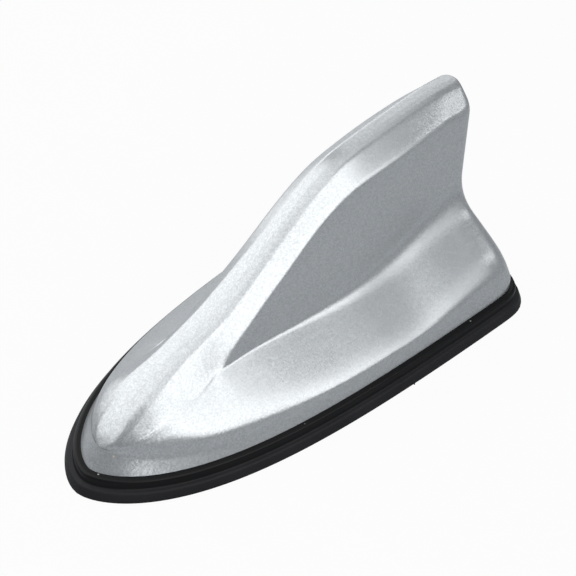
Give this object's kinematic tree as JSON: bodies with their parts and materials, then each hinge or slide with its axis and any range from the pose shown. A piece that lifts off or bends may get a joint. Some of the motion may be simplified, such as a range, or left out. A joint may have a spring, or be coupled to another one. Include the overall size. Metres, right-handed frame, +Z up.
{
  "type": "shark fin aerial",
  "caption": "Car roof aerial in a painted shark fin cover on a stepped rubber gasket, with an amplifier board, a coil and a top plate inside and an adhesive foot.",
  "frame": {"origin": "centre of the gasket's footprint on the roof, at roof level", "axes": "+X towards the tail of the fin, +Y to the vehicle's right, +Z up from the roof"},
  "size_m": [0.165, 0.0816, 0.0683],
  "materials": {
    "cover_paint": "silver metallic paint on moulded ABS, satin gloss",
    "gasket_rubber": "black moulded rubber, glossy upper step, matt lower step",
    "plate_plastic": "black glass-filled nylon",
    "pad_foam": "dark grey acrylic foam tape",
    "zinc_screw": "zinc-plated steel",
    "grommet_rubber": "black rubber",
    "board_laminate": "green solder mask on glass-fibre board",
    "tinned_sheet": "tin-plated sheet",
    "chip_black": "black moulded package with tinned legs",
    "capacitor_ceramic": "tan ceramic with tinned ends",
    "resistor_ceramic": "black glaze on ceramic with tinned ends",
    "winding_copper": "enamelled copper wire on a ferrite drum",
    "capacitor_can": "aluminium can on a plastic base",
    "header_nylon": "natural nylon",
    "pin_brass": "plated brass",
    "carrier_plastic": "natural ABS",
    "coil_wire": "bright copper wire",
    "top_plate_brass": "half-hard brass sheet",
    "strip_foam": "dark grey open-cell foam"
  },
  "bodies": {
    "root": {"fin_cover": "cover_paint", "roof_gasket": "gasket_rubber", "base_plate": "plate_plastic", "adhesive_pad": "pad_foam", "cover_screws": "zinc_screw", "cable_grommet": "grommet_rubber", "circuit_board": "board_laminate", "board_screws": "zinc_screw", "shield_can": "tinned_sheet", "amplifier_chip": "chip_black", "chip_capacitors": "capacitor_ceramic", "chip_resistors": "resistor_ceramic", "wound_inductors": "winding_copper", "smoothing_capacitor": "capacitor_can", "lead_header": "header_nylon", "header_pins": "pin_brass", "element_carrier": "carrier_plastic", "carrier_screws": "zinc_screw", "radio_coil": "coil_wire", "coil_eyelet": "pin_brass", "top_plate": "top_plate_brass", "foam_strip": "strip_foam"}
  },
  "joints": []
}
